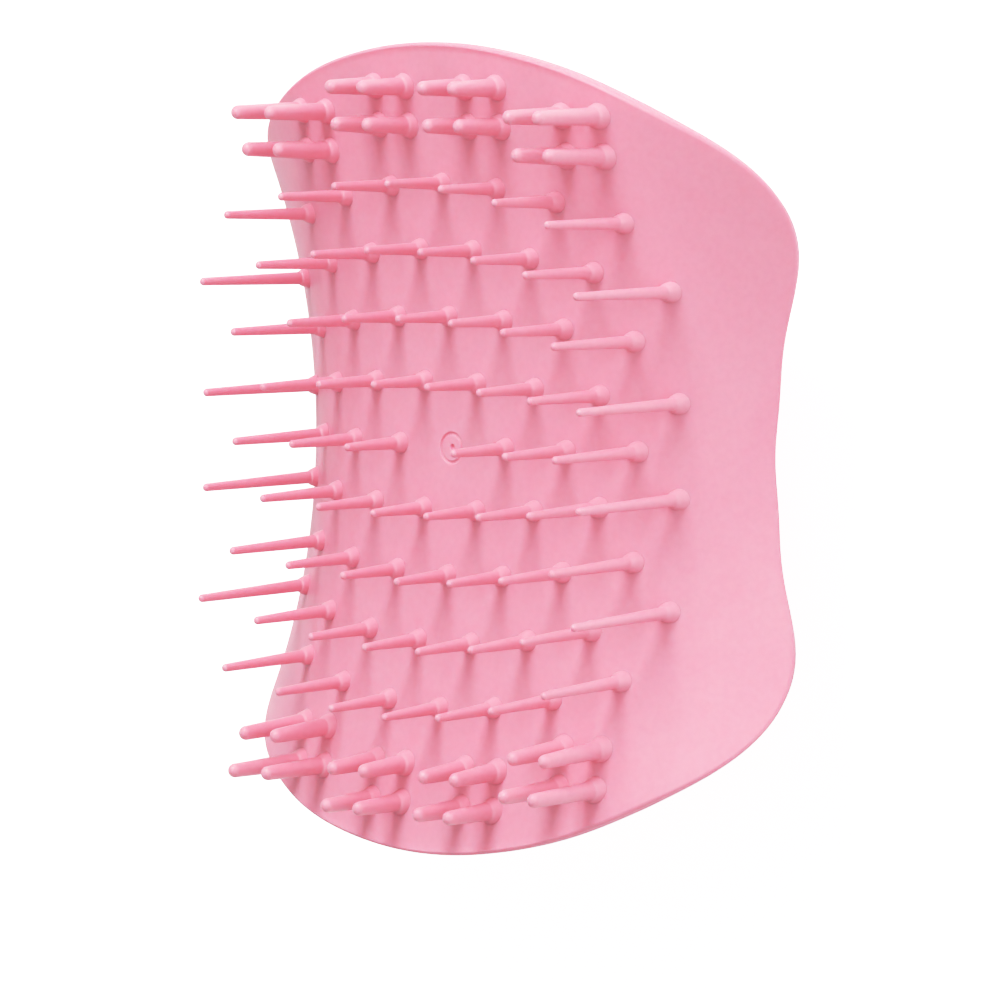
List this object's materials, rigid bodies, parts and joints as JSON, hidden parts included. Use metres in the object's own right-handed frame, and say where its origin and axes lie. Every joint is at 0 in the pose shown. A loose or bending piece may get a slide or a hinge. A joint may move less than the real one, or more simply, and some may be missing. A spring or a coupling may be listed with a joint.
{
  "type": "scalp massager brush",
  "caption": "Palm-held scalp massager brush with a waisted saddle-shaped flexible pad of thin tines and thick nubs over a domed palm shell.",
  "frame": {"origin": "centre of the round rest face on the back of the palm shell", "axes": "+Z along the bristles, away from the palm; +Y along the long axis; +X across the width"},
  "size_m": [0.078, 0.09, 0.0433],
  "materials": {
    "pad_elastomer": "satin pink elastomer, slightly translucent",
    "bristle_elastomer": "satin pink elastomer, translucent tips",
    "shell_plastic": "satin pink moulded plastic"
  },
  "bodies": {
    "brush": {"palm_shell": "shell_plastic", "bristle_pad": "pad_elastomer"},
    "tines_a7": {"tines_a7": "bristle_elastomer"},
    "tines_a6": {"tines_a6": "bristle_elastomer"},
    "tines_a5": {"tines_a5": "bristle_elastomer"},
    "tines_a4": {"tines_a4": "bristle_elastomer"},
    "tines_a3": {"tines_a3": "bristle_elastomer"},
    "tines_a2": {"tines_a2": "bristle_elastomer"},
    "tines_a1": {"tines_a1": "bristle_elastomer"},
    "tines_mid": {"tines_mid": "bristle_elastomer"},
    "tines_b1": {"tines_b1": "bristle_elastomer"},
    "tines_b2": {"tines_b2": "bristle_elastomer"},
    "tines_b3": {"tines_b3": "bristle_elastomer"},
    "tines_b4": {"tines_b4": "bristle_elastomer"},
    "tines_b5": {"tines_b5": "bristle_elastomer"},
    "tines_b6": {"tines_b6": "bristle_elastomer"},
    "tines_b7": {"tines_b7": "bristle_elastomer"},
    "nubs_a4": {"nubs_a4": "bristle_elastomer"},
    "nubs_a3": {"nubs_a3": "bristle_elastomer"},
    "nubs_a2": {"nubs_a2": "bristle_elastomer"},
    "nubs_a1": {"nubs_a1": "bristle_elastomer"},
    "nubs_b1": {"nubs_b1": "bristle_elastomer"},
    "nubs_b2": {"nubs_b2": "bristle_elastomer"},
    "nubs_b3": {"nubs_b3": "bristle_elastomer"},
    "nubs_b4": {"nubs_b4": "bristle_elastomer"}
  },
  "joints": [
    {"name": "bend_tines_a7", "type": "hinge", "parent": "brush", "child": "tines_a7", "pos_m": [-0.02839, 0, 0.02748], "axis": [0, 1, 0], "range_deg": [-13, 13], "stiffness_Nm_per_rad": 0.00014},
    {"name": "bend_tines_a6", "type": "hinge", "parent": "brush", "child": "tines_a6", "pos_m": [-0.02446, 0, 0.03007], "axis": [0, 1, 0], "range_deg": [-15, 15], "stiffness_Nm_per_rad": 0.00012},
    {"name": "bend_tines_a5", "type": "hinge", "parent": "brush", "child": "tines_a5", "pos_m": [-0.02045, 0, 0.03111], "axis": [0, 1, 0], "range_deg": [-18, 18], "stiffness_Nm_per_rad": 0.000069},
    {"name": "bend_tines_a4", "type": "hinge", "parent": "brush", "child": "tines_a4", "pos_m": [-0.0164, 0, 0.03239], "axis": [0, 1, 0], "range_deg": [-20, 20], "stiffness_Nm_per_rad": 0.000068},
    {"name": "bend_tines_a3", "type": "hinge", "parent": "brush", "child": "tines_a3", "pos_m": [-0.01232, 0, 0.03261], "axis": [0, 1, 0], "range_deg": [-22, 22], "stiffness_Nm_per_rad": 0.000045},
    {"name": "bend_tines_a2", "type": "hinge", "parent": "brush", "child": "tines_a2", "pos_m": [-0.00822, 0, 0.03325], "axis": [0, 1, 0], "range_deg": [-22, 22], "stiffness_Nm_per_rad": 0.000052},
    {"name": "bend_tines_a1", "type": "hinge", "parent": "brush", "child": "tines_a1", "pos_m": [-0.00411, 0, 0.03309], "axis": [0, 1, 0], "range_deg": [-22, 22], "stiffness_Nm_per_rad": 0.000038},
    {"name": "bend_tines_mid", "type": "hinge", "parent": "brush", "child": "tines_mid", "pos_m": [0, 0, 0.03366], "axis": [0, 1, 0], "range_deg": [-22, 22], "stiffness_Nm_per_rad": 0.000039},
    {"name": "bend_tines_b1", "type": "hinge", "parent": "brush", "child": "tines_b1", "pos_m": [0.00411, 0, 0.03309], "axis": [0, 1, 0], "range_deg": [-22, 22], "stiffness_Nm_per_rad": 0.000038},
    {"name": "bend_tines_b2", "type": "hinge", "parent": "brush", "child": "tines_b2", "pos_m": [0.00822, 0, 0.03325], "axis": [0, 1, 0], "range_deg": [-22, 22], "stiffness_Nm_per_rad": 0.000052},
    {"name": "bend_tines_b3", "type": "hinge", "parent": "brush", "child": "tines_b3", "pos_m": [0.01232, 0, 0.03261], "axis": [0, 1, 0], "range_deg": [-22, 22], "stiffness_Nm_per_rad": 0.000045},
    {"name": "bend_tines_b4", "type": "hinge", "parent": "brush", "child": "tines_b4", "pos_m": [0.0164, 0, 0.03239], "axis": [0, 1, 0], "range_deg": [-20, 20], "stiffness_Nm_per_rad": 0.000068},
    {"name": "bend_tines_b5", "type": "hinge", "parent": "brush", "child": "tines_b5", "pos_m": [0.02045, 0, 0.03111], "axis": [0, 1, 0], "range_deg": [-18, 18], "stiffness_Nm_per_rad": 0.000069},
    {"name": "bend_tines_b6", "type": "hinge", "parent": "brush", "child": "tines_b6", "pos_m": [0.02446, 0, 0.03007], "axis": [0, 1, 0], "range_deg": [-15, 15], "stiffness_Nm_per_rad": 0.00012},
    {"name": "bend_tines_b7", "type": "hinge", "parent": "brush", "child": "tines_b7", "pos_m": [0.02839, 0, 0.02748], "axis": [0, 1, 0], "range_deg": [-13, 13], "stiffness_Nm_per_rad": 0.00014},
    {"name": "bend_nubs_a4", "type": "hinge", "parent": "brush", "child": "nubs_a4", "pos_m": [-0.02311, 0, 0.03347], "axis": [0, 1, 0], "range_deg": [-6, 6], "stiffness_Nm_per_rad": 0.00012},
    {"name": "bend_nubs_a3", "type": "hinge", "parent": "brush", "child": "nubs_a3", "pos_m": [-0.01836, 0, 0.03424], "axis": [0, 1, 0], "range_deg": [-6, 6], "stiffness_Nm_per_rad": 0.000095},
    {"name": "bend_nubs_a2", "type": "hinge", "parent": "brush", "child": "nubs_a2", "pos_m": [-0.00946, 0, 0.0354], "axis": [0, 1, 0], "range_deg": [-9, 9], "stiffness_Nm_per_rad": 0.000063},
    {"name": "bend_nubs_a1", "type": "hinge", "parent": "brush", "child": "nubs_a1", "pos_m": [-0.00465, 0, 0.03551], "axis": [0, 1, 0], "range_deg": [-9, 9], "stiffness_Nm_per_rad": 0.000058},
    {"name": "bend_nubs_b1", "type": "hinge", "parent": "brush", "child": "nubs_b1", "pos_m": [0.00465, 0, 0.03551], "axis": [0, 1, 0], "range_deg": [-9, 9], "stiffness_Nm_per_rad": 0.000058},
    {"name": "bend_nubs_b2", "type": "hinge", "parent": "brush", "child": "nubs_b2", "pos_m": [0.00946, 0, 0.0354], "axis": [0, 1, 0], "range_deg": [-9, 9], "stiffness_Nm_per_rad": 0.000063},
    {"name": "bend_nubs_b3", "type": "hinge", "parent": "brush", "child": "nubs_b3", "pos_m": [0.01836, 0, 0.03424], "axis": [0, 1, 0], "range_deg": [-6, 6], "stiffness_Nm_per_rad": 0.000095},
    {"name": "bend_nubs_b4", "type": "hinge", "parent": "brush", "child": "nubs_b4", "pos_m": [0.02311, 0, 0.03347], "axis": [0, 1, 0], "range_deg": [-6, 6], "stiffness_Nm_per_rad": 0.00012}
  ]
}
